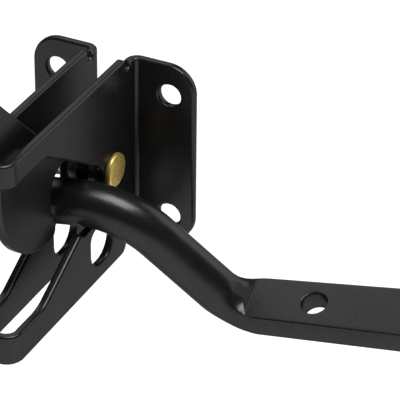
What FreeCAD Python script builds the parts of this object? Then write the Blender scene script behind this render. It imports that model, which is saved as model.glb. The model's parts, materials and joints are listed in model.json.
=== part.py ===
import FreeCAD, Part
import math
import os
import sys

import Sketcher

# Self-closing gate latch: a folded steel case screwed to the gate post, a gravity pawl on a brass
# pivot pin between two spacer bushes, and the round strike bar that the gate carries.
# Frame: +X to the right along the strike bar, +Y into the post, +Z up. The origin lies on the
# case's mounting face, midway between the four screw holes. Millimetres.

os.makedirs("parts", exist_ok=True)
doc = FreeCAD.newDocument("GateLatch")
sheet = doc.addObject("Spreadsheet::Sheet", "Dims")

DIMENSIONS = [
    # folded case
    ("sheet_thick", 2.5, "steel sheet of the case"),
    ("channel_gap", 9.0, "inside width between the two walls"),
    ("case_depth", 72.0, "mounting face to the front of the nose"),
    ("wall_top", 30.5, "top edge of the walls above the origin"),
    ("wall_bottom", 30.7, "bottom edge of the walls below the origin"),
    ("bend_inner", 2.5, "inside radius of the bridge bends"),
    ("flange_bend", 1.2, "inside radius of the flange bends"),
    ("flange_width", 49.6, "across both screw flanges"),
    ("flange_top", 28.4, "top edge of the flanges above the origin"),
    ("flange_bottom", 27.0, "bottom edge of the flanges below the origin"),
    ("flange_corner", 8.0, "outer corner radius of the flanges"),
    ("screw_hole_rad", 3.3, "screw hole radius"),
    ("screw_span_x", 34.6, "screw holes, side to side"),
    ("screw_span_z", 38.1, "screw holes, top to bottom"),
    ("relief_depth", 8.0, "wall cut back from the mounting face beside each bend end"),
    ("relief_rad", 1.5, "half the width of the relief notch at the top of each bend"),
    ("relief_drop", 1.8, "depth of the relief notch below the flange's top edge"),
    ("relief_round", 1.35, "rounding of the relief notch's floor"),
    ("heel_rad", 3.0, "rounding of the walls' lower rear corners"),
    # mouth and rod seat
    ("nose_height", 7.0, "height of the bridge across the top of the mouth"),
    ("mouth_flat", 20.0, "level stretch of the mouth's upper edge, from the nose back"),
    ("mouth_slope", 0.638, "fall of the mouth's upper edge per unit of depth"),
    ("seat_play", 0.17, "least gap under the askew rod where it crosses a wall"),
    ("seat_back_play", 0.98, "least gap behind the askew rod where it crosses a wall"),
    ("seat_sill", 1.6, "height of the sill that holds the rod in the seat"),
    ("sill_grip", 1.55, "how far the sill's front corner reaches back under the rod's front"),
    ("ramp_foot_run", 16.4, "front of the case to the foot of the entry ramp"),
    ("front_bar_height", 9.0, "height of the bridge across the front of the lower jaw"),
    ("cut_overrun", 5.0, "how far an open-ended cut runs past the sheet"),
    ("mouth_corner", 6.0, "corner radius at the rear of the mouth"),
    ("ramp_blend", 12.0, "radius where the ramp meets the lower front bridge"),
    # padlock slots
    ("slot_width", 12.6, "width of the padlock slot in each wall"),
    ("slot_front", 28.6, "front edge of the slot from the mounting face"),
    ("slot_web", 2.0, "metal left between the rod seat and the slot"),
    ("slot_foot", 4.6, "metal left below the slot"),
    ("slot_top_rad", 3.0, "corner radius at the top of the slot"),
    ("slot_foot_rad", 5.67, "corner radius at the foot of the slot"),
    # pawl and its pivot
    ("pin_depth", 15.9, "pivot pin centre from the mounting face"),
    ("pin_height", 0.3, "pivot pin centre above the origin"),
    ("pin_rad", 3.0, "pivot pin shank radius"),
    ("pin_head_rad", 4.9, "pivot pin head radius"),
    ("pin_head_thick", 1.6, "pivot pin head thickness"),
    ("pin_tail_rad", 4.4, "clinched tail radius"),
    ("pin_tail_thick", 1.3, "clinched tail thickness"),
    ("pin_head_round", 0.48, "rounding of the head's rim"),
    ("pin_tail_round", 0.65, "rounding of the tail's rim"),
    ("pin_play", 0.1, "radial play of the pawl and the bushes on the pin"),
    ("bush_rad", 5.4, "outside radius of the spacer bushes"),
    ("side_play", 0.15, "end play beside each spacer bush"),
    ("pawl_thick", 3.0, "pawl plate thickness"),
    ("toe_setback", 5.1, "front edge of the pawl behind the front of the nose"),
    ("toe_drop", 9.8, "lowest edge of the toe below the origin"),
    ("toe_flat", 1.8, "straight stretch at the lowest part of the toe"),
    ("hook_play", 1.65, "gap between the rod and the hook's locking edge"),
    ("toe_back_rad", 2.8, "rounding of the toe's rear corner"),
    ("hook_top", 10.6, "top of the hook over the rod"),
    ("hook_lean", 0.333, "forward lean of the hook's locking edge per unit of height"),
    ("hook_rad", 8.0, "corner radius in the hook"),
    ("hook_fill", 0.62, "largest share of the hook's level top that its corner may take"),
    ("hook_reach", 1.7, "rear end of the hook's level top, in front of the rod's centre"),
    ("arm_height", 8.4, "metal between the hook's top and the root of the lever"),
    ("hub_rad", 6.4, "pawl's round end about the pin"),
    ("hub_crest", 14.08, "pawl's rear shoulder above the pin"),
    ("neck_angle", 25.5, "where the hook's rear edge runs into the round end, degrees"),
    ("lever_width", 12.7, "width of the thumb lever"),
    ("lever_stop_gap", 0.3, "gap between the lever and the nose at rest"),
    ("lever_reach", 77.5, "end of the lever's rear edge from the mounting face"),
    ("lever_end_rad", 6.2, "rounding of the lever's end"),
    # strike bar, in its own frame: the rod along X, the flat below it
    ("rod_rad", 6.35, "radius of the strike rod"),
    ("rod_back", 22.95, "rear of the resting rod from the mounting face"),
    ("rod_crest", 1.95, "top of the resting rod above the origin"),
    ("rod_tail", 16.0, "plain rod end to the left of the latch centre"),
    ("first_corner", 15.93, "where the rod's line meets the slanted run"),
    ("bend_angle", 56.7, "slope of the slanted run, degrees"),
    ("flat_offset", 36.2, "rod line to the middle of the flat"),
    ("first_bend_rad", 25.3, "centreline radius of the bend beside the latch"),
    ("second_bend_rad", 8.0, "centreline radius of the bend beside the flat"),
    ("forge_run", 2.4, "length over which the round rod is forged flat"),
    ("flat_thick", 6.35, "thickness of the flat"),
    ("flat_start_width", 15.6, "width of the flat where it leaves the rod"),
    ("flat_end_width", 18.8, "width of the flat at its end"),
    ("flat_length", 74.0, "second corner to the end of the flat"),
    ("flat_end_corner", 7.0, "corner radius at the end of the flat"),
    ("bar_hole_rad", 3.58, "screw hole radius in the flat"),
    ("bar_hole_first", 24.4, "first screw hole from the second corner"),
    ("bar_hole_span", 38.1, "distance between the flat's two screw holes"),
    ("bar_yaw", 6.0, "how far the resting bar swings back to the right, degrees"),
    ("bar_rise", 7.5, "how far the resting bar rises to the right, degrees"),
    ("bar_roll", 17.0, "how far the resting bar is rolled forward from hanging, degrees"),
]

for row, (alias, value, note) in enumerate(DIMENSIONS, start=1):
    sheet.set("A%d" % row, str(value))
    sheet.setAlias("A%d" % row, alias)
    sheet.set("B%d" % row, note)
doc.recompute()


def measure(expression):
    """Value of an expression written in the sheet's names."""
    value = sheet.evalExpression(expression)
    return float(value.Value) if hasattr(value, "Value") else float(value)


def named(expression):
    """The same expression as other objects must write it."""
    words = []
    token = ""
    for char in expression + " ":
        if char.isalnum() or char == "_":
            token += char
            continue
        words.append("Dims." + token if token in ALIASES else token)
        words.append(char)
        token = ""
    return "".join(words).strip()


ALIASES = {alias for alias, _value, _note in DIMENSIONS}


def new_body(name):
    body = doc.addObject("PartDesign::Body", name)
    body.Label = name
    return body


def new_sketch(body, name, role, offset=None):
    """Sketch on one of the body's own origin planes, moved along its normal by an expression."""
    plane = next(item for item in body.Origin.OriginFeatures if item.Role == role)
    sketch = body.newObject("Sketcher::SketchObject", name)
    sketch.AttachmentSupport = (plane, "")
    sketch.MapMode = "FlatFace"
    if offset:
        sketch.setExpression("AttachmentOffset.Base.z", named(offset))
    return sketch


def bind(sketch, kind, where, expression):
    """Add a dimension to a sketch and tie it to the sheet."""
    index = sketch.addConstraint(Sketcher.Constraint(kind, *where, measure(expression)))
    sketch.setExpression("Constraints[%d]" % index, named(expression))


def add_polygon(sketch, corners):
    """Closed outline through corners, each a pair of expressions."""
    points = [FreeCAD.Vector(measure(u), measure(v), 0) for u, v in corners]
    first = sketch.GeometryCount
    count = len(points)
    for index in range(count):
        sketch.addGeometry(Part.LineSegment(points[index], points[(index + 1) % count]), False)
    for index in range(count):
        following = first + (index + 1) % count
        sketch.addConstraint(Sketcher.Constraint("Coincident", first + index, 2, following, 1))
    for index, (u, v) in enumerate(corners):
        bind(sketch, "DistanceX", (first + index, 1), u)
        bind(sketch, "DistanceY", (first + index, 1), v)


def add_circle(sketch, centre_u, centre_v, radius):
    centre = FreeCAD.Vector(measure(centre_u), measure(centre_v), 0)
    index = sketch.addGeometry(
        Part.Circle(centre, FreeCAD.Vector(0, 0, 1), measure(radius)), False)
    bind(sketch, "Radius", (index,), radius)
    bind(sketch, "DistanceX", (index, 3), centre_u)
    bind(sketch, "DistanceY", (index, 3), centre_v)


def pad(body, sketch, name, length, midplane=False):
    feature = body.newObject("PartDesign::Pad", name)
    feature.Profile = sketch
    feature.setExpression("Length", named(length))
    feature.Midplane = midplane
    doc.recompute()
    return feature


def pocket(body, sketch, name):
    """Cut the sketch right through the body both ways, and check that it removed metal."""
    before = body.Shape.Volume
    feature = body.newObject("PartDesign::Pocket", name)
    feature.Profile = sketch
    feature.SideType = "Two sides"
    feature.Type = "ThroughAll"
    feature.Type2 = "ThroughAll"
    doc.recompute()
    if feature.Shape.isNull() or not feature.Shape.Volume < before - 0.1:
        raise RuntimeError(name + " removes nothing")
    return feature


def straight_edges(body, axis, spots):
    """Names of the straight edges along an axis (0 X, 1 Y, 2 Z) at (first, second) coordinates."""
    others = [index for index in range(3) if index != axis]
    names = []
    for number, edge in enumerate(body.Shape.Edges, start=1):
        if edge.Curve.TypeId != "Part::GeomLine" or abs(edge.Curve.Direction[axis]) < 0.999:
            continue
        middle = edge.CenterOfMass
        for first, second in spots:
            if abs(middle[others[0]] - first) < 0.05 and abs(middle[others[1]] - second) < 0.05:
                names.append("Edge%d" % number)
    return names


def fillet(body, name, axis, corners, radius, expected):
    """Round the straight edges at the given corners, each a pair of expressions."""
    spots = [(measure(first), measure(second)) for first, second in corners]
    names = straight_edges(body, axis, spots)
    if len(names) != expected:
        raise RuntimeError("%s found %d edges, not %d" % (name, len(names), expected))
    base = body.Tip
    feature = body.newObject("PartDesign::Fillet", name)
    feature.Base = (base, names)
    feature.setExpression("Radius", named(radius))
    doc.recompute()
    return feature


# ---------------------------------------------------------------- case
# The walls' outer and inner faces, and the line of the nose's bridge.
OUTER = "(channel_gap / 2 + sheet_thick)"
INNER = "(channel_gap / 2)"
FLANGE = "(flange_width / 2)"

# Centre of the resting rod, behind the mounting face and below the origin.
ROD_DEPTH = "(rod_back + rod_rad)"
ROD_DROP = "(rod_rad - rod_crest)"

case = new_body("case")
plan = new_sketch(case, "case_plan", "XY_Plane", "-wall_bottom")
add_polygon(plan, [
    (FLANGE, "0"),
    (FLANGE, "-sheet_thick"),
    (OUTER, "-sheet_thick"),
    (OUTER, "-case_depth"),
    ("-" + OUTER, "-case_depth"),
    ("-" + OUTER, "-sheet_thick"),
    ("-" + FLANGE, "-sheet_thick"),
    ("-" + FLANGE, "0"),
    ("-" + INNER, "0"),
    ("-" + INNER, "sheet_thick - case_depth"),
    (INNER, "sheet_thick - case_depth"),
    (INNER, "0"),
])
pad(case, plan, "case_sheet", "wall_top + wall_bottom")
fillet(case, "bridge_bends_inside", 2, [
    (INNER, "sheet_thick - case_depth"), ("-" + INNER, "sheet_thick - case_depth"),
], "bend_inner", 2)
fillet(case, "bridge_bends_outside", 2, [
    (OUTER, "-case_depth"), ("-" + OUTER, "-case_depth"),
], "bend_inner + sheet_thick", 2)
fillet(case, "flange_bends_inside", 2, [
    (OUTER, "-sheet_thick"), ("-" + OUTER, "-sheet_thick"),
], "flange_bend", 2)
fillet(case, "flange_bends_outside", 2, [
    (INNER, "0"), ("-" + INNER, "0"),
], "flange_bend + sheet_thick", 2)

# Mouth: level under the nose, falling to the rear of the rod seat, then the seat, its sill and
# the ramp down to the lower front bridge. The rod lies askew, so the seat clears it where it
# crosses the outer face of each wall.
MOUTH_TOP = "(wall_top - nose_height)"
MOUTH_BREAK = "(-case_depth + mouth_flat)"
SEAT_BACK = ("(-" + ROD_DEPTH + " + rod_rad / cos(bar_yaw) + " + OUTER
             + " * tan(bar_yaw) + seat_back_play)")
SEAT_FLOOR = ("(-" + ROD_DROP + " - rod_rad / cos(bar_rise) - " + OUTER
              + " * tan(bar_rise) - seat_play)")
SILL_FRONT = "(sill_grip - " + ROD_DEPTH + " - rod_rad)"
SILL_TOP = "(" + SEAT_FLOOR + " + seat_sill)"
RAMP_END = "(ramp_foot_run - case_depth)"
RAMP_FOOT = "(-wall_bottom + front_bar_height)"
MOUTH_BACK_TOP = "(" + MOUTH_TOP + " - mouth_slope * (" + SEAT_BACK + " - " + MOUTH_BREAK + "))"
mouth = new_sketch(case, "mouth_outline", "YZ_Plane")
add_polygon(mouth, [
    ("-case_depth - cut_overrun", MOUTH_TOP),
    (MOUTH_BREAK, MOUTH_TOP),
    (SEAT_BACK, MOUTH_BACK_TOP),
    (SEAT_BACK, SEAT_FLOOR),
    (SILL_FRONT + " + seat_sill", SEAT_FLOOR),
    (SILL_FRONT, SILL_TOP),
    (RAMP_END, RAMP_FOOT),
    ("-case_depth - cut_overrun", RAMP_FOOT),
])
pocket(case, mouth, "mouth")

# Padlock slot through both walls, below the rod seat.
SLOT_BACK = "(-slot_front + slot_width)"
SLOT_TOP = "(" + SEAT_FLOOR + " - slot_web)"
SLOT_FOOT = "(-wall_bottom + slot_foot)"
slot = new_sketch(case, "slot_outline", "YZ_Plane")
add_polygon(slot, [
    ("-slot_front", SLOT_TOP),
    (SLOT_BACK, SLOT_TOP),
    (SLOT_BACK, SLOT_FOOT),
    ("-slot_front", SLOT_FOOT),
])
pocket(case, slot, "padlock_slots")

# The flanges are shorter than the walls: the wall is cut back below them, and the sheet above
# them is trimmed, with a half-round relief notch at the end of each bend.
trims = new_sketch(case, "flange_ends", "YZ_Plane")
add_polygon(trims, [
    ("-relief_depth", "-flange_bottom"),
    ("cut_overrun", "-flange_bottom"),
    ("cut_overrun", "-wall_bottom - cut_overrun"),
    ("-relief_depth", "-wall_bottom - cut_overrun"),
])
add_polygon(trims, [
    ("-relief_depth + 2 * relief_rad", "flange_top"),
    ("cut_overrun", "flange_top"),
    ("cut_overrun", "wall_top + cut_overrun"),
    ("-relief_depth + 2 * relief_rad", "wall_top + cut_overrun"),
])
pocket(case, trims, "flange_end_trims")
notches = new_sketch(case, "relief_outline", "YZ_Plane")
add_polygon(notches, [
    ("-relief_depth", "flange_top - relief_drop"),
    ("-relief_depth + 2 * relief_rad", "flange_top - relief_drop"),
    ("-relief_depth + 2 * relief_rad", "wall_top + cut_overrun"),
    ("-relief_depth", "wall_top + cut_overrun"),
])
pocket(case, notches, "relief_notches")

screws = new_sketch(case, "screw_holes_outline", "XZ_Plane")
for side in ("", "-"):
    for level in ("", "-"):
        add_circle(screws, side + "(screw_span_x / 2)", level + "(screw_span_z / 2)",
                   "screw_hole_rad")
pocket(case, screws, "screw_holes")
pin_holes = new_sketch(case, "pin_hole_outline", "YZ_Plane")
add_circle(pin_holes, "-pin_depth", "pin_height", "pin_rad")
pocket(case, pin_holes, "pin_holes")

fillet(case, "flange_corners", 1, [
    (FLANGE, "flange_top"), ("-" + FLANGE, "flange_top"),
    (FLANGE, "-flange_bottom"), ("-" + FLANGE, "-flange_bottom"),
], "flange_corner", 4)
fillet(case, "mouth_rear_corners", 0, [
    (SEAT_BACK, MOUTH_BACK_TOP), (SEAT_BACK, SEAT_FLOOR),
], "mouth_corner", 4)
fillet(case, "mouth_small_corners", 0, [
    (MOUTH_BREAK, MOUTH_TOP), (SILL_FRONT, SILL_TOP),
], "relief_rad", 4)
fillet(case, "ramp_foot", 0, [(RAMP_END, RAMP_FOOT)], "ramp_blend", 2)
fillet(case, "slot_top_corners", 0, [
    ("-slot_front", SLOT_TOP), (SLOT_BACK, SLOT_TOP),
], "slot_top_rad", 4)
fillet(case, "slot_foot_corners", 0, [
    ("-slot_front", SLOT_FOOT), (SLOT_BACK, SLOT_FOOT),
], "slot_foot_rad", 4)
fillet(case, "relief_floor", 0, [
    ("-relief_depth", "flange_top - relief_drop"),
    ("-relief_depth + 2 * relief_rad", "flange_top - relief_drop"),
], "relief_round", 4)
fillet(case, "wall_heel_corners", 0, [("-relief_depth", "-wall_bottom")], "heel_rad", 2)

# ---------------------------------------------------------------- pawl
# The thumb lever runs forward and up at 45 degrees. Its front edge clears the top rear corner
# of the nose by the stop gap, measured square to the edge.
LEVER_FRONT = "(sheet_thick - case_depth + wall_top + lever_stop_gap * sqrt(2))"
LEVER_BACK = "(" + LEVER_FRONT + " + lever_width * sqrt(2))"
END_BACK_UP = "(" + LEVER_BACK + " + lever_reach)"
TOE_FRONT = "(case_depth - toe_setback)"
TOE_BACK = "(" + ROD_DEPTH + " + rod_rad + hook_play)"
TOE_RAD = "(" + TOE_FRONT + " - " + TOE_BACK + " - toe_back_rad - toe_flat)"
HOOK_FRONT = "(-" + TOE_BACK + " - hook_lean * (hook_top + toe_drop))"
HOOK_REAR = "(-" + ROD_DEPTH + " - hook_reach)"
HOOK_RAD = "min(hook_rad; hook_fill * (" + HOOK_REAR + " - " + HOOK_FRONT + "))"
SHOULDER = "(hook_top + arm_height)"
pawl = new_body("pawl")
outline = new_sketch(pawl, "pawl_outline", "YZ_Plane")
add_polygon(outline, [
    ("-" + TOE_BACK, "-toe_drop"),
    ("-" + TOE_FRONT, "-toe_drop"),
    ("-" + TOE_FRONT, LEVER_FRONT + " + " + TOE_FRONT),
    ("-lever_reach - lever_width / sqrt(2)", END_BACK_UP + " - lever_width / sqrt(2)"),
    ("-lever_reach", END_BACK_UP),
    (LEVER_BACK + " - " + SHOULDER, SHOULDER),
    ("-pin_depth - hub_rad", "pin_height + hub_crest"),
    ("-pin_depth + hub_rad / sqrt(2)", "pin_height + hub_rad / sqrt(2)"),
    ("-pin_depth", "pin_height"),
    ("-pin_depth - hub_rad * cos(neck_angle)", "pin_height + hub_rad * sin(neck_angle)"),
    (HOOK_REAR, "hook_top"),
    (HOOK_FRONT, "hook_top"),
])
pad(pawl, outline, "pawl_plate", "pawl_thick", midplane=True)
fillet(pawl, "strike_edge", 0, [("-" + TOE_FRONT, "-toe_drop")], TOE_RAD, 1)
fillet(pawl, "toe_heel", 0, [("-" + TOE_BACK, "-toe_drop")], "toe_back_rad", 1)
fillet(pawl, "hook_corner", 0, [(HOOK_FRONT, "hook_top")], HOOK_RAD, 1)
fillet(pawl, "lever_end", 0, [
    ("-lever_reach - lever_width / sqrt(2)", END_BACK_UP + " - lever_width / sqrt(2)"),
    ("-lever_reach", END_BACK_UP),
], "lever_end_rad", 2)
fillet(pawl, "lever_root", 0, [
    ("-" + TOE_FRONT, LEVER_FRONT + " + " + TOE_FRONT),
    (LEVER_BACK + " - " + SHOULDER, SHOULDER),
    (HOOK_REAR, "hook_top"),
    ("-pin_depth - hub_rad", "pin_height + hub_crest"),
], "toe_back_rad", 4)
hub = new_sketch(pawl, "hub_outline", "YZ_Plane")
add_circle(hub, "-pin_depth", "pin_height", "hub_rad")
pad(pawl, hub, "pawl_hub", "pawl_thick", midplane=True)
bore = new_sketch(pawl, "pawl_bore_outline", "YZ_Plane")
add_circle(bore, "-pin_depth", "pin_height", "pin_rad + pin_play")
pocket(pawl, bore, "pawl_bore")

# ---------------------------------------------------------------- pivot pin and spacer bushes
pin = new_body("pivot_pin")
shank = new_sketch(pin, "pin_shank_outline", "YZ_Plane", "-" + OUTER)
add_circle(shank, "-pin_depth", "pin_height", "pin_rad")
pad(pin, shank, "pin_shank", "channel_gap + 2 * sheet_thick")
head = new_sketch(pin, "pin_head_outline", "YZ_Plane", OUTER)
add_circle(head, "-pin_depth", "pin_height", "pin_head_rad")
pad(pin, head, "pin_head", "pin_head_thick")
tail = new_sketch(pin, "pin_tail_outline", "YZ_Plane", "-" + OUTER + " - pin_tail_thick")
add_circle(tail, "-pin_depth", "pin_height", "pin_tail_rad")
pad(pin, tail, "pin_tail", "pin_tail_thick")


def rim_edges(body, x, radius):
    """Names of the round edges of one radius in the plane at x."""
    return ["Edge%d" % number for number, edge in enumerate(body.Shape.Edges, start=1)
            if edge.Curve.TypeId == "Part::GeomCircle"
            and abs(edge.Curve.Radius - radius) < 0.01 and abs(edge.CenterOfMass.x - x) < 0.01]


rims = [
    ("head_rim", OUTER + " + pin_head_thick", "pin_head_rad", "pin_head_round"),
    ("tail_rim", "-" + OUTER + " - pin_tail_thick", "pin_tail_rad", "pin_tail_round"),
]
for name, plane_x, radius, rounding in rims:
    base = pin.Tip
    edges = rim_edges(pin, measure(plane_x), measure(radius))
    feature = pin.newObject("PartDesign::Fillet", name)
    feature.Base = (base, edges)
    feature.setExpression("Radius", named(rounding))
    doc.recompute()

for name, start in (("bush_right", "pawl_thick / 2 + side_play"),
                    ("bush_left", "-" + INNER + " + side_play")):
    bush = new_body(name)
    ring = new_sketch(bush, name + "_outline", "YZ_Plane", start)
    add_circle(ring, "-pin_depth", "pin_height", "bush_rad")
    add_circle(ring, "-pin_depth", "pin_height", "pin_rad + pin_play")
    pad(bush, ring, name + "_tube", INNER + " - pawl_thick / 2 - 2 * side_play")

# ---------------------------------------------------------------- strike bar
# In its own frame the rod lies along X with its centre line through the origin, and the flat
# lies below it. The rod is bent down, bent level again, forged flat and drilled.
SLANT_RUN = "(flat_offset / tan(bend_angle))"
SECOND = "(first_corner + " + SLANT_RUN + ")"
FIRST_TANGENT = "(first_bend_rad * tan(bend_angle / 2))"
SECOND_TANGENT = "(second_bend_rad * tan(bend_angle / 2))"
FORGE_START = "(" + SECOND + " + " + SECOND_TANGENT + ")"
FORGE_END = "(" + FORGE_START + " + forge_run)"

bar = new_body("strike_bar")
route = new_sketch(bar, "rod_route", "XZ_Plane")
angle = math.radians(measure("bend_angle"))
corner_one = FreeCAD.Vector(measure("first_corner"), 0, 0)
corner_two = FreeCAD.Vector(measure(SECOND), -measure("flat_offset"), 0)
down = FreeCAD.Vector(math.cos(angle), -math.sin(angle), 0)
level = FreeCAD.Vector(1, 0, 0)
one_in = corner_one - level * measure(FIRST_TANGENT)
one_out = corner_one + down * measure(FIRST_TANGENT)
two_in = corner_two - down * measure(SECOND_TANGENT)
two_out = corner_two + level * measure(SECOND_TANGENT)
one_centre = one_in - FreeCAD.Vector(0, measure("first_bend_rad"), 0)
two_centre = two_out + FreeCAD.Vector(0, measure("second_bend_rad"), 0)
axis_up = FreeCAD.Vector(0, 0, 1)
first_arc = Part.ArcOfCircle(
    Part.Circle(one_centre, axis_up, measure("first_bend_rad")), math.pi / 2 - angle, math.pi / 2)
second_arc = Part.ArcOfCircle(
    Part.Circle(two_centre, axis_up, measure("second_bend_rad")),
    1.5 * math.pi - angle, 1.5 * math.pi)
route.addGeometry(Part.LineSegment(FreeCAD.Vector(-measure("rod_tail"), 0, 0), one_in), False)
route.addGeometry(first_arc, False)
route.addGeometry(Part.LineSegment(one_out, two_in), False)
route.addGeometry(second_arc, False)
route.addConstraint(Sketcher.Constraint("Horizontal", 0))
route.addConstraint(Sketcher.Constraint("Tangent", 0, 2, 1, 2))
route.addConstraint(Sketcher.Constraint("Tangent", 1, 1, 2, 1))
route.addConstraint(Sketcher.Constraint("Tangent", 2, 2, 3, 1))
bind(route, "DistanceX", (0, 1), "-rod_tail")
bind(route, "DistanceY", (0, 1), "0")
bind(route, "Radius", (1,), "first_bend_rad")
bind(route, "Radius", (3,), "second_bend_rad")
bind(route, "DistanceX", (0, 2), "first_corner - " + FIRST_TANGENT)
bind(route, "DistanceX", (3, 2), FORGE_START)
bind(route, "DistanceY", (3, 2), "-flat_offset")
bind(route, "DistanceX", (3, 3), FORGE_START)

section = new_sketch(bar, "rod_section", "YZ_Plane", "-rod_tail")
add_circle(section, "0", "0", "rod_rad")
rod = bar.newObject("PartDesign::AdditivePipe", "rod_and_bends")
rod.Profile = section
rod.Spine = route
doc.recompute()

forge_in = new_sketch(bar, "forge_round", "YZ_Plane", FORGE_START)
add_circle(forge_in, "0", "-flat_offset", "rod_rad")
forge_out = new_sketch(bar, "forge_flat", "YZ_Plane", FORGE_END)
HALF = "(flat_start_width / 2)"
TOP = "(-flat_offset + flat_thick / 2)"
FOOT = "(-flat_offset - flat_thick / 2)"
add_polygon(forge_out, [("-" + HALF, FOOT), (HALF, FOOT), (HALF, TOP), ("-" + HALF, TOP)])
forging = bar.newObject("PartDesign::AdditiveLoft", "forging")
forging.Profile = forge_in
forging.Sections = [forge_out]
doc.recompute()

flat = new_sketch(bar, "flat_outline", "XY_Plane", FOOT)
FLAT_END = "(" + SECOND + " + flat_length)"
END_HALF = "(flat_end_width / 2)"
add_polygon(flat, [
    (FORGE_END, "-" + HALF),
    (FLAT_END, "-" + END_HALF),
    (FLAT_END, END_HALF),
    (FORGE_END, HALF),
])
pad(bar, flat, "flat", "flat_thick")
fillet(bar, "flat_end_corners", 2, [(FLAT_END, END_HALF), (FLAT_END, "-" + END_HALF)],
       "flat_end_corner", 2)
drill = new_sketch(bar, "flat_holes_outline", "XY_Plane", "-flat_offset")
add_circle(drill, SECOND + " + bar_hole_first", "0", "bar_hole_rad")
add_circle(drill, SECOND + " + bar_hole_first + bar_hole_span", "0", "bar_hole_rad")
before = bar.Shape.Volume
holes = bar.newObject("PartDesign::Pocket", "flat_holes")
holes.Profile = drill
holes.Midplane = True
holes.setExpression("Length", named("flat_thick * 3"))
doc.recompute()
if not holes.Shape.Volume < before - 1:
    raise RuntimeError("flat_holes removes nothing")

# The bar rests askew in the seat: rolled forward about the rod, risen and swung back.
bar.Placement = FreeCAD.Placement(
    FreeCAD.Vector(0, -measure(ROD_DEPTH), -measure(ROD_DROP)),
    FreeCAD.Rotation(FreeCAD.Vector(0, 0, 1), measure("bar_yaw"))
    * FreeCAD.Rotation(FreeCAD.Vector(0, 1, 0), -measure("bar_rise"))
    * FreeCAD.Rotation(FreeCAD.Vector(1, 0, 0), measure("bar_roll")))
bar.setExpression("Placement.Base.y", named("-" + ROD_DEPTH))
bar.setExpression("Placement.Base.z", named("-" + ROD_DROP))

# ---------------------------------------------------------------- check and write
doc.recompute()
failed = [item.Name for item in doc.Objects
          if any(word in item.State for word in ("Invalid", "Error"))]
if failed:
    sys.exit("failed features: " + ", ".join(failed))
bodies = [item for item in doc.Objects if item.TypeId == "PartDesign::Body"]
for body in bodies:
    shape = body.Shape
    if shape.isNull() or not shape.isValid() or len(shape.Solids) != 1:
        sys.exit("bad shape: " + body.Label)
for body in bodies:
    body.Shape.exportStep("parts/%s.step" % body.Label)
    box = body.Shape.BoundBox
    print("%-11s %9.1f mm3  x %.1f %.1f  y %.1f %.1f  z %.1f %.1f" % (
        body.Label, body.Shape.Volume, box.XMin, box.XMax, box.YMin, box.YMax, box.ZMin, box.ZMax))
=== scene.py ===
import json
import math

import bmesh
import bpy
from mathutils import Matrix, Vector


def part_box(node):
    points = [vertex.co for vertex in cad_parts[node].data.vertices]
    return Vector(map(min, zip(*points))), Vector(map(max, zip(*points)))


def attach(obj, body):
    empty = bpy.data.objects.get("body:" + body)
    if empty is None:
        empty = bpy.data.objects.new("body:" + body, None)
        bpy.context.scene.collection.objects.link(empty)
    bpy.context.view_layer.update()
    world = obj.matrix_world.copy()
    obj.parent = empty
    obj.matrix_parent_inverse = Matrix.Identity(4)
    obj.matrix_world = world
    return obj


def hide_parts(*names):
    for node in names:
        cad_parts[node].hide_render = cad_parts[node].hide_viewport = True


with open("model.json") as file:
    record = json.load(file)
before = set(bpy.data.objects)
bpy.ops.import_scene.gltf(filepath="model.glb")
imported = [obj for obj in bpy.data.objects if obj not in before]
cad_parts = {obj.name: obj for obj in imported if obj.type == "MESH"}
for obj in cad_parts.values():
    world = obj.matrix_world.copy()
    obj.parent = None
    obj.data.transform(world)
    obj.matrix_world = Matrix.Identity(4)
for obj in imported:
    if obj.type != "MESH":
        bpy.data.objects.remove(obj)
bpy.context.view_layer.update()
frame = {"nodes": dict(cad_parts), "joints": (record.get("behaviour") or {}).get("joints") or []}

MM = 0.001


# ---------------------------------------------------------------- shader arithmetic
class Value:
    """A shader socket that can be added, taken away and multiplied like a number."""

    def __init__(self, finish, socket):
        self.finish = finish
        self.socket = socket

    def maths(self, operation, *others):
        inputs = dict(enumerate(others))
        return self.finish.node("ShaderNodeMath", {"operation": operation}, inputs)

    def __add__(self, other):
        return self.maths("ADD", self, other)

    def __radd__(self, other):
        return self.maths("ADD", other, self)

    def __rsub__(self, other):
        return self.maths("SUBTRACT", other, self)

    def __mul__(self, other):
        return self.maths("MULTIPLY", self, other)

    def __rmul__(self, other):
        return self.maths("MULTIPLY", other, self)

    def sine(self):
        return self.maths("SINE", self)

    def root(self):
        return self.maths("SQRT", self)

    def between(self, low, high):
        """0 up to low, 1 from high, smooth between them."""
        return self.finish.node(
            "ShaderNodeMapRange",
            {"interpolation_type": "SMOOTHSTEP"},
            {"Value": self, "From Min": low, "From Max": high},
        )


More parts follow.
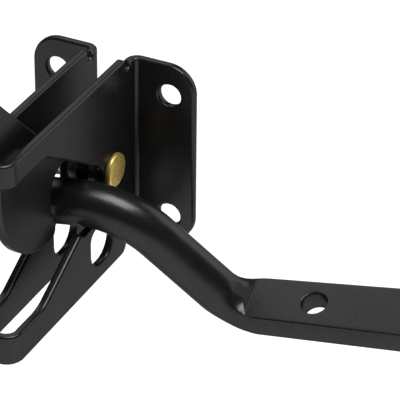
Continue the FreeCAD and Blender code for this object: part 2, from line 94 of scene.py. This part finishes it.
class Finish:
    """A procedural material: nodes made by node(), and the sockets of one surface shader."""

    def __init__(self, name, **surface):
        self.material = bpy.data.materials.new(name)
        self.material.use_nodes = True
        self.tree = self.material.node_tree
        self.tree.nodes.clear()
        self.surface = self.tree.nodes.new("ShaderNodeBsdfPrincipled")
        output = self.tree.nodes.new("ShaderNodeOutputMaterial")
        self.tree.links.new(self.surface.outputs[0], output.inputs["Surface"])
        self.place = self.node("ShaderNodeTexCoord", output="Object")
        for socket, value in surface.items():
            self.set(socket.replace("_", " "), value)

    def node(self, kind, settings=None, inputs=None, output=0):
        """Add a node with its settings and inputs, and give back one of its outputs."""
        node = self.tree.nodes.new(kind)
        for name, value in (settings or {}).items():
            setattr(node, name, value)
        for name, value in (inputs or {}).items():
            self.feed(node.inputs[name], value)
        return Value(self, node.outputs[output])

    def feed(self, socket, value):
        """Link a Value to the socket, or set the socket to a plain number or colour."""
        if isinstance(value, Value):
            self.tree.links.new(value.socket, socket)
        else:
            socket.default_value = value

    def set(self, socket, value):
        self.feed(self.surface.inputs[socket], value)

    def noise(self, size, detail=2.0, roughness=0.5):
        """Noise whose blotches are about size metres across."""
        return self.node(
            "ShaderNodeTexNoise",
            {"noise_dimensions": "3D"},
            {"Vector": self.place, "Scale": 1 / size, "Detail": detail, "Roughness": roughness},
        )

    def blend(self, mask, first, second):
        """Colour that goes from first to second as mask goes from 0 to 1."""
        return self.node(
            "ShaderNodeMix",
            {"data_type": "RGBA", "blend_type": "MIX"},
            {0: mask, 6: first, 7: second},
            output=2,
        )

    def bump(self, height, depth, under=None):
        """Normal roughened by a height of 0 to 1 that stands for depth metres."""
        inputs = {"Height": height, "Distance": depth, "Strength": 1.0}
        if under:
            inputs["Normal"] = under
        return self.node("ShaderNodeBump", {}, inputs)

    def edges(self, radius):
        """1 along edges and corners, as far as radius from them, and 0 on plain faces."""
        soft = self.node("ShaderNodeBevel", {"samples": 6}, {"Radius": radius})
        face = self.node("ShaderNodeNewGeometry", output="Normal")
        likeness = self.node(
            "ShaderNodeVectorMath", {"operation": "DOT_PRODUCT"}, {0: soft, 1: face},
            output="Value")
        # Both are one minus the cosine of the turn between face and edge.
        faint, full = 0.004, 0.06
        return (1 - likeness).between(faint, full)


def grey(level, warmth=0.0):
    """Grey colour; warmth moves it toward red and away from blue."""
    return (level * (1 + warmth), level, level * (1 - warmth), 1)


# ---------------------------------------------------------------- finishes
def powder_coat():
    """Satin black powder coat: orange peel, a fine grain, dull patches, and edges lightened partly
    as rubbed wear and partly as a painted highlight.
    """
    coat = Finish(
        "black_powder_coat", Metallic=0.79, Specular_IOR_Level=0.0, Specular_Tint=grey(0.5))
    patches = coat.noise(14 * MM, detail=3).between(0.35, 0.68)
    flecks = coat.noise(0.55 * MM, detail=1).between(0.56, 0.74)
    rub = coat.noise(2.2 * MM, detail=4, roughness=0.7).between(0.42, 0.7)
    wear_and_painted_highlight = coat.edges(0.9 * MM) * rub
    colour = coat.blend(patches, grey(0.04), grey(0.044, 0.01))
    colour = coat.blend(flecks * 0.35, colour, grey(0.07))
    # Lighter colour along the edges: partly rubbed wear, partly a painted highlight standing in
    # for reflections on the rounded edges.
    colour = coat.blend(wear_and_painted_highlight * 0.4, colour, grey(0.11, 0.02))
    coat.set("Base Color", colour)
    coat.set("Roughness", 0.27 + 0.03 * patches + 0.05 * flecks + 0.08 * wear_and_painted_highlight)
    peel = coat.bump(coat.noise(1.5 * MM, detail=1), 0.022 * MM)
    grain = coat.bump(coat.noise(0.35 * MM, detail=2), 0.007 * MM, peel)
    coat.set("Normal", grain)
    return coat.material


def turned_brass(centre):
    """Dull brass with lathe rings about the pin's axis, tarnish blotches and brown specks."""
    fresh, tarnished, brown = (0.88, 0.64, 0.2, 1), (0.6, 0.42, 0.12, 1), (0.25, 0.17, 0.07, 1)
    ring_pitch = 0.28 * MM
    brass = Finish("turned_brass", Metallic=0.9)
    offset = brass.node(
        "ShaderNodeVectorMath", {"operation": "SUBTRACT"}, {0: brass.place, 1: centre})
    across = brass.node("ShaderNodeSeparateXYZ", {}, {0: offset}, output="Y")
    up = brass.node("ShaderNodeSeparateXYZ", {}, {0: offset}, output="Z")
    radius = (across * across + up * up).root()
    rings = (radius * (2 * math.pi / ring_pitch)).sine() * 0.5 + 0.5
    tarnish = brass.noise(1.7 * MM, detail=4, roughness=0.65).between(0.4, 0.66)
    specks = brass.noise(0.42 * MM, detail=2).between(0.58, 0.7)
    colour = brass.blend(tarnish, fresh, tarnished)
    colour = brass.blend(specks * 0.7, colour, brown)
    brass.set("Base Color", colour)
    brass.set("Roughness", 0.42 + 0.14 * tarnish + 0.12 * specks)
    turned = brass.bump(rings, 0.006 * MM)
    brass.set("Normal", brass.bump(brass.noise(0.6 * MM, detail=3), 0.012 * MM, turned))
    return brass.material


def zinc_with_painted_shade():
    """Dulled zinc plate, cloudy, its colour darkened to a dark grey as painted shade of its place
    inside the case.
    """
    # Both tones are far darker than bare zinc: painted shade for the bushes inside the case.
    light, dark = (0.17, 0.175, 0.18, 1), (0.09, 0.093, 0.096, 1)
    zinc = Finish("zinc_with_painted_shade", Metallic=1.0)
    clouds = zinc.noise(2.4 * MM, detail=4, roughness=0.6).between(0.36, 0.66)
    zinc.set("Base Color", zinc.blend(clouds, light, dark))
    zinc.set("Roughness", 0.34 + 0.16 * clouds)
    zinc.set("Normal", zinc.bump(zinc.noise(0.5 * MM, detail=2), 0.008 * MM))
    return zinc.material


# ---------------------------------------------------------------- mesh helpers
def add_piece(name, bm, finish, body, slot, *nodes):
    """Make an object from a bmesh, with its finish, on its body, in place of its CAD nodes."""
    mesh = bpy.data.meshes.new(name)
    bmesh.ops.recalc_face_normals(bm, faces=bm.faces)
    bm.to_mesh(mesh)
    bm.free()
    mesh.materials.append(finish)
    mesh.shade_smooth()
    piece = bpy.data.objects.new(name, mesh)
    bpy.context.scene.collection.objects.link(piece)
    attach(piece, body)
    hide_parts(*nodes)
    return piece


def weigh_normals(piece):
    """Keep broad faces flat and let the rounded edges carry the shading."""
    modifier = piece.modifiers.new("flat_faces", "WEIGHTED_NORMAL")
    modifier.weight = 100
    modifier.keep_sharp = False


def rounded_plate(name, node, body, slot, finish, edge_round):
    """A cut and folded plate: the CAD node's own faces, with every sheared edge rounded."""
    weld, flat_angle, sharp_angle = 0.002 * MM, math.radians(0.4), math.radians(32.0)
    bm = bmesh.new()
    bm.from_mesh(frame["nodes"][node].data)
    bmesh.ops.remove_doubles(bm, verts=bm.verts, dist=weld)
    bmesh.ops.dissolve_limit(
        bm, angle_limit=flat_angle, verts=bm.verts, edges=bm.edges,
        use_dissolve_boundaries=False)
    sharp = [edge for edge in bm.edges
             if len(edge.link_faces) == 2 and edge.calc_face_angle() > sharp_angle]
    bmesh.ops.bevel(
        bm, geom=sharp, offset=edge_round, offset_type="OFFSET", segments=3, profile=0.5,
        affect="EDGES", clamp_overlap=False, miter_outer="ARC", loop_slide=True)
    weigh_normals(add_piece(name, bm, finish, body, slot, node))


def lathe(bm, outline, centre, steps=64):
    """Turn an outline of (x, radius) about the X axis through centre, and return its rings."""
    turns = [2 * math.pi * step / steps for step in range(steps)]
    rings = []
    for x, radius in outline:
        rings.append([
            bm.verts.new((centre.x + x, centre.y + radius * math.cos(turn),
                          centre.z + radius * math.sin(turn)))
            for turn in turns])
    skin_rings(bm, rings)
    return rings


def skin_rings(bm, rings):
    """Join each ring of vertices to the next with four-sided faces."""
    for ring, following in zip(rings, rings[1:]):
        count = len(ring)
        for index in range(count):
            after = (index + 1) % count
            bm.faces.new((ring[index], ring[after], following[after], following[index]))


def close_ends(bm, rings):
    """Cap the first and the last ring."""
    bm.faces.new(rings[0])
    bm.faces.new(rings[-1])


def quarter(centre_x, centre_r, radius, start, end, steps=5):
    """Points of a rounded corner in an (x, radius) outline, angles in degrees."""
    points = []
    for step in range(steps + 1):
        turn = math.radians(start + (end - start) * step / steps)
        points.append((centre_x + radius * math.cos(turn), centre_r + radius * math.sin(turn)))
    return points


# ---------------------------------------------------------------- finishes in use
case_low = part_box("case")[0]
pin_low, pin_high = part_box("pivot_pin")
pin_centre = Vector((0, (pin_low.y + pin_high.y) / 2, (pin_low.z + pin_high.z) / 2))
COAT = powder_coat()
BRASS = turned_brass(pin_centre)
SHADE_DARKENED_ZINC = zinc_with_painted_shade()

# ---------------------------------------------------------------- plates
rounded_plate("folded_case", "case", "case", "coated_steel", COAT, 0.75 * MM)
rounded_plate("pawl_and_lever", "pawl", "pawl", "coated_steel", COAT, 0.5 * MM)


# ---------------------------------------------------------------- pin and bushes
def make_pin():
    """Brass pin: shallow domed head on the right, shank, clinched tail on the left."""
    head_rad = (pin_high.z - pin_low.z) / 2
    head_face, tail_face = pin_high.x, pin_low.x
    head_seat = head_face - 1.6 * MM
    tail_seat = tail_face + 1.3 * MM
    shank_rad, tail_rad = 3.0 * MM, 4.4 * MM
    rim_round, burr = 0.6 * MM, 0.15 * MM
    tail_dimple, tail_dimple_rad = 0.25 * MM, 1.2 * MM
    dome_rad, dome_drop, dome_rise, dome_steps = head_rad - rim_round, 0.15 * MM, 0.13 * MM, 6
    tip_rad = 0.02 * MM
    outline = [(tail_face + tail_dimple, tip_rad), (tail_face, tail_dimple_rad)]
    outline += quarter(tail_face + rim_round, tail_rad - rim_round, rim_round, 180, 90)
    outline += [(tail_seat, tail_rad - 0.1 * MM), (tail_seat, shank_rad)]
    outline += [(head_seat, shank_rad), (head_seat, head_rad - burr)]
    outline += [(head_seat + burr, head_rad)]
    outline += quarter(
        head_face - dome_drop - rim_round, head_rad - rim_round, rim_round, 90, 12)
    for step in range(1, dome_steps + 1):
        share = 1 - step / dome_steps
        rise = dome_rise * (1 - share * share)
        outline.append((head_face - dome_drop + rise, max(dome_rad * share, tip_rad)))
    bm = bmesh.new()
    close_ends(bm, lathe(bm, outline, pin_centre))
    weigh_normals(add_piece("brass_pivot_pin", bm, BRASS, "case", "brass", "pivot_pin"))


def make_bush(name, node):
    """Plain spacer bush with broken edges."""
    low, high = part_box(node)
    outer = (high.z - low.z) / 2
    bore = 3.1 * MM
    broken = 0.25 * MM
    outline = [
        (low.x, bore + broken), (low.x, outer - broken), (low.x + broken, outer),
        (high.x - broken, outer), (high.x, outer - broken), (high.x, bore + broken),
        (high.x - broken, bore), (low.x + broken, bore), (low.x, bore + broken),
    ]
    bm = bmesh.new()
    lathe(bm, outline, pin_centre, steps=48)
    bmesh.ops.remove_doubles(bm, verts=bm.verts, dist=0.001 * MM)
    weigh_normals(add_piece(name, bm, SHADE_DARKENED_ZINC, "case", "bright_steel", node))


make_pin()
make_bush("spacer_bush_right", "bush_right")
make_bush("spacer_bush_left", "bush_left")


# ---------------------------------------------------------------- strike bar
# The bar's own frame: the rod along X through the origin, the flat below it, as the joint says.
roll_joint = next(joint for joint in frame["joints"] if joint["child"] == "strike_bar")
ROD_ORIGIN = Vector(roll_joint["pos_m"])
ROLL = math.radians(17.0)  # turn of the flat about the rod
ROD_RAD = 6.35 * MM
ROD_TAIL = 16.0 * MM
BEND = math.radians(56.7)
FIRST_CORNER = 15.93 * MM  # where the rod's line meets the slanted part's
FLAT_DROP = 36.2 * MM
FIRST_RAD = 25.3 * MM
SECOND_RAD = 11.5 * MM
FLAT_THICK = 6.35 * MM
FLAT_REACH = 74.0 * MM
START_HALF = 7.8 * MM  # half width of the flat where it starts
END_HALF = 9.4 * MM  # and where it ends
END_CORNER = 7.0 * MM
HOLE_RAD = 3.58 * MM
HOLE_FIRST = 24.4 * MM
HOLE_SPAN = 38.1 * MM
# Where the slanted part's line meets the flat's.
SECOND_CORNER = FIRST_CORNER + FLAT_DROP / math.tan(BEND)
FLAT_END = SECOND_CORNER + FLAT_REACH


def bar_placement():
    """The bar's own frame in the part's frame, from the rod's axis and the bar's roll."""
    along = Vector(roll_joint["axis"]).normalized()
    rise = math.asin(along.z)
    yaw = math.atan2(along.y, along.x)
    turn = (Matrix.Rotation(yaw, 4, "Z") @ Matrix.Rotation(-rise, 4, "Y")
            @ Matrix.Rotation(ROLL, 4, "X"))
    return Matrix.Translation(ROD_ORIGIN) @ turn


def bar_route():
    """(x, z, downward turn) along the bar's centre line, from the rod's end to the flat's."""
    tail_steps, first_steps, slant_steps, second_steps, end_steps = 24, 36, 12, 24, 24
    fine_step, coarse_step, last_gap = 0.25 * MM, 1.0 * MM, 0.3 * MM
    fine_to = SECOND_CORNER + 14 * MM
    route = []
    first_tangent = FIRST_RAD * math.tan(BEND / 2)
    second_tangent = SECOND_RAD * math.tan(BEND / 2)
    start = FIRST_CORNER - first_tangent
    for step in range(tail_steps + 1):
        route.append((-ROD_TAIL + (start + ROD_TAIL) * step / tail_steps, 0.0, 0.0))
    for step in range(1, first_steps + 1):
        turn = BEND * step / first_steps
        route.append((start + FIRST_RAD * math.sin(turn), FIRST_RAD * (math.cos(turn) - 1), turn))
    slant_x, slant_z = route[-1][:2]
    second_in_x = SECOND_CORNER - second_tangent * math.cos(BEND)
    second_in_z = -FLAT_DROP + second_tangent * math.sin(BEND)
    for step in range(1, slant_steps + 1):
        share = step / slant_steps
        route.append((slant_x + (second_in_x - slant_x) * share,
                      slant_z + (second_in_z - slant_z) * share, BEND))
    second_end = SECOND_CORNER + second_tangent
    for step in range(1, second_steps + 1):
        turn = BEND * (1 - step / second_steps)
        route.append((second_end - SECOND_RAD * math.sin(turn),
                      -FLAT_DROP + SECOND_RAD * (1 - math.cos(turn)), turn))
    x = second_end
    while x < FLAT_END - END_CORNER - last_gap:
        x += fine_step if x < fine_to else coarse_step
        route.append((x, -FLAT_DROP, 0.0))
    for step in range(1, end_steps + 1):
        turn = math.pi / 2 * step / end_steps
        route.append((FLAT_END - END_CORNER + END_CORNER * math.sin(turn), -FLAT_DROP, 0.0))
    return route


def smooth(share):
    """Hold a share to the range 0 to 1 and ease it, level at both ends."""
    share = min(max(share, 0.0), 1.0)
    return share * share * (3 - 2 * share)


def flat_half_width(x):
    """Half width of the flat at x: it widens slowly and ends in two round corners."""
    share = (x - SECOND_CORNER) / FLAT_REACH
    half = START_HALF + (END_HALF - START_HALF) * min(max(share, 0.0), 1.0)
    past = x - (FLAT_END - END_CORNER)
    if past > 0:
        half -= END_CORNER - math.sqrt(max(END_CORNER ** 2 - past ** 2, 0.0))
    return half


def forged_outline(half, thick):
    """Section of the forged flat: sharp upper corners, leaning sides and soft lower corners."""
    top = thick / 2
    upper = 0.45 * MM
    lower = min(1.5 * MM, thick * 0.4)
    swell, spread = 1.2 * MM, 0.55 * MM
    upright_share, lean_power = 0.2, 1.5
    corner_steps, side_steps, half_level_steps = 6, 8, 9
    half += spread
    points = []

    def corner(centre_u, centre_v, radius, start, end):
        for step in range(corner_steps + 1):
            turn = math.radians(start + (end - start) * step / corner_steps)
            points.append((centre_u + radius * math.cos(turn), centre_v + radius * math.sin(turn)))

    def side(sign, falling):
        heights = [step / side_steps for step in range(1, side_steps)]
        if falling:
            heights = heights[::-1]
        for height in heights:
            v = -top + lower + (thick - lower - upper) * height
            lean = max((height - upright_share) / (1 - upright_share), 0.0) ** lean_power
            points.append((sign * (half - swell * lean), v))

    def level(v, sign):
        for step in range(1, 2 * half_level_steps):
            points.append((sign * (half - swell - upper) * (1 - step / half_level_steps), v))

    side(1, False)
    corner(half - swell - upper, top - upper, upper, 20, 90)
    level(top, 1)
    corner(-half + swell + upper, top - upper, upper, 90, 160)
    side(-1, True)
    corner(-half + lower, -top + lower, lower, 180, 270)
    level(-top, -1)
    corner(half - lower, -top + lower, lower, 270, 360)
    return points


FORGE_FROM = SECOND_CORNER - 2.0 * MM
FORGE_TO = SECOND_CORNER + 10.0 * MM
# The section's height when its points are spread round the rod.
BEARING_HEIGHT = 11.0 * MM
# (x, height over the flat's middle) of the die's face, with straight lines between them.
DIE_MARKS = [
    (SECOND_CORNER + 0.3 * MM, 11.2 * MM),
    (SECOND_CORNER + 2.4 * MM, 7.1 * MM),
    (SECOND_CORNER + 6.3 * MM, FLAT_THICK / 2),
    (FLAT_END + 1.0 * MM, FLAT_THICK / 2),
]


def shoulder_height(x):
    """Highest point that the forging die leaves at x, measured from the flat's middle."""
    for (near_x, near_top), (far_x, far_top) in zip(DIE_MARKS, DIE_MARKS[1:]):
        if x <= far_x:
            return near_top + (far_top - near_top) * (x - near_x) / (far_x - near_x)
    return FLAT_THICK / 2


def bar_section(x):
    """Points (u, v) across the bar: round before the forging, forged after it."""
    shape = smooth((x - FORGE_FROM) / (FORGE_TO - FORGE_FROM))
    end_gap = FLAT_END - x
    thick = FLAT_THICK
    soft, chamfer = 0.5 * MM, 0.7 * MM
    if end_gap < soft:
        thick -= 2 * (soft - math.sqrt(max(soft ** 2 - (soft - end_gap) ** 2, 0.0)))
    forged = forged_outline(flat_half_width(max(x, SECOND_CORNER)), thick)
    points = []
    tail = x + ROD_TAIL
    rod = ROD_RAD
    if tail < chamfer:
        rod -= chamfer - tail
    for u, v in forged:
        bearing = math.atan2(v / FLAT_THICK * BEARING_HEIGHT, u)
        round_u = rod * math.cos(bearing)
        round_v = rod * math.sin(bearing)
        points.append((round_u + (u - round_u) * shape, round_v + (v - round_v) * shape))
    return points


def make_bar():
    """Rod, cranked down and forged to a flat, drilled with two screw holes."""
    placement = bar_placement()
    die_start = DIE_MARKS[0][0]
    bm = bmesh.new()
    rings = []
    for x, z, turn in bar_route():
        ring = []
        for u, v in bar_section(x):
            point = Vector((x + v * math.sin(turn), u, z + v * math.cos(turn)))
            if point.x > die_start:
                point.z = min(point.z, -FLAT_DROP + shoulder_height(point.x))
            ring.append(bm.verts.new(point))
        rings.append(ring)
    skin_rings(bm, rings)
    close_ends(bm, rings)
    bm.transform(placement)
    piece = add_piece("strike_bar_forged", bm, COAT, "strike_bar", "coated_steel", "strike_bar")
    for number in range(2):
        cutter = hole_cutter(SECOND_CORNER + HOLE_FIRST + number * HOLE_SPAN, placement)
        modifier = piece.modifiers.new("hole", "BOOLEAN")
        modifier.operation = "DIFFERENCE"
        modifier.solver = "MANIFOLD"
        modifier.object = cutter
        bpy.context.view_layer.objects.active = piece
        with bpy.context.temp_override(
                object=piece, active_object=piece, selected_objects=[piece]):
            bpy.ops.object.modifier_apply(modifier=modifier.name)
        bpy.data.objects.remove(cutter)
    piece.data.set_sharp_from_angle(angle=math.radians(40))


def hole_cutter(x, placement):
    """Drill with rounded shoulders, so that both rims of the hole come out soft."""
    rim, overrun, sliver, steps = 0.45 * MM, 2 * MM, 0.001 * MM, 56
    turns = [2 * math.pi * step / steps for step in range(steps)]
    half = FLAT_THICK / 2
    outline = [(-half - overrun, HOLE_RAD + rim), (-half - sliver, HOLE_RAD + rim)]
    outline += [(-half + rim - rim * math.cos(math.radians(angle)),
                 HOLE_RAD + rim - rim * math.sin(math.radians(angle)))
                for angle in (18, 36, 54, 72, 90)]
    outline += [(-v, radius) for v, radius in reversed(outline)]
    bm = bmesh.new()
    rings = []
    for v, radius in outline:
        rings.append([bm.verts.new((x + radius * math.cos(turn), radius * math.sin(turn),
                                    -FLAT_DROP + v)) for turn in turns])
    skin_rings(bm, rings)
    close_ends(bm, rings)
    bmesh.ops.recalc_face_normals(bm, faces=bm.faces)
    bm.transform(placement)
    mesh = bpy.data.meshes.new("drill")
    bm.to_mesh(mesh)
    bm.free()
    cutter = bpy.data.objects.new("drill", mesh)
    bpy.context.scene.collection.objects.link(cutter)
    return cutter


make_bar()


# ---------------------------------------------------------------- stage
def make_floor():
    """Pale floor, 6 m square, below the part."""
    mesh = bpy.data.meshes.new("floor")
    bm = bmesh.new()
    bmesh.ops.create_grid(bm, x_segments=1, y_segments=1, size=3.0)
    bm.transform(Matrix.Translation((0, 0, FLOOR_Z)))
    bm.to_mesh(mesh)
    bm.free()
    pale = Finish("pale_floor", Roughness=0.9, Base_Color=(0.9, 0.9, 0.9, 1))
    pale.set("Emission Color", (1, 1, 1, 1))
    pale.set("Emission Strength", 0.35)
    mesh.materials.append(pale.material)
    floor = bpy.data.objects.new("floor", mesh)
    bpy.context.scene.collection.objects.link(floor)


def soft_light(name, place, target, size, power):
    """Square area lamp at place, size metres wide, aimed at target."""
    data = bpy.data.lights.new(name, "AREA")
    data.shape = "SQUARE"
    data.size = size
    data.energy = power
    light = bpy.data.objects.new(name, data)
    light.location = place
    aim = Vector(target) - Vector(place)
    light.rotation_euler = aim.to_track_quat("-Z", "Y").to_euler()
    bpy.context.scene.collection.objects.link(light)


FLOOR_DROP = 90 * MM
FLOOR_Z = case_low.z - FLOOR_DROP
make_floor()
soft_light("overhead", (0.2, -0.02, 0.72), (0, 0, 0), size=0.42, power=5.5)
soft_light("left_back_key", (-0.45, 0.48, 0.62), (-0.05, 0.05, 0), size=0.62, power=2.1)
soft_light("back_wash", (0.55, 1.0, 0.33), (0, 0, 0.1), size=0.9, power=4.5)

world = bpy.data.worlds.new("studio")
bpy.context.scene.world = world
world.use_nodes = True
world.node_tree.nodes["Background"].inputs["Color"].default_value = (1, 1, 1, 1)
world.node_tree.nodes["Background"].inputs["Strength"].default_value = 0.04

# ---------------------------------------------------------------- camera
AZIMUTH = math.radians(26.902)
ELEVATION = math.radians(32.339)
EYE_RIGHT, EYE_UP, EYE_BACK = 10.941 * MM, -19.021 * MM, 722.073 * MM
right = Vector((math.cos(AZIMUTH), math.sin(AZIMUTH), 0))
back = Vector((
    math.sin(AZIMUTH) * math.cos(ELEVATION), -math.cos(AZIMUTH) * math.cos(ELEVATION),
    math.sin(ELEVATION)))
up = back.cross(right)
camera_data = bpy.data.cameras.new("camera")
camera_data.sensor_width = 36.0
camera_data.lens = 233.7
camera_data.shift_x = 0.1082
camera_data.shift_y = 0.0154
camera_data.clip_start = 0.05
camera = bpy.data.objects.new("camera", camera_data)
eye = Matrix.Translation(right * EYE_RIGHT + up * EYE_UP + back * EYE_BACK)
camera.matrix_world = eye @ Matrix((
    (right.x, up.x, back.x, 0), (right.y, up.y, back.y, 0), (right.z, up.z, back.z, 0),
    (0, 0, 0, 1)))
bpy.context.scene.collection.objects.link(camera)
bpy.context.scene.camera = camera
bpy.context.scene.view_settings.view_transform = "Standard"
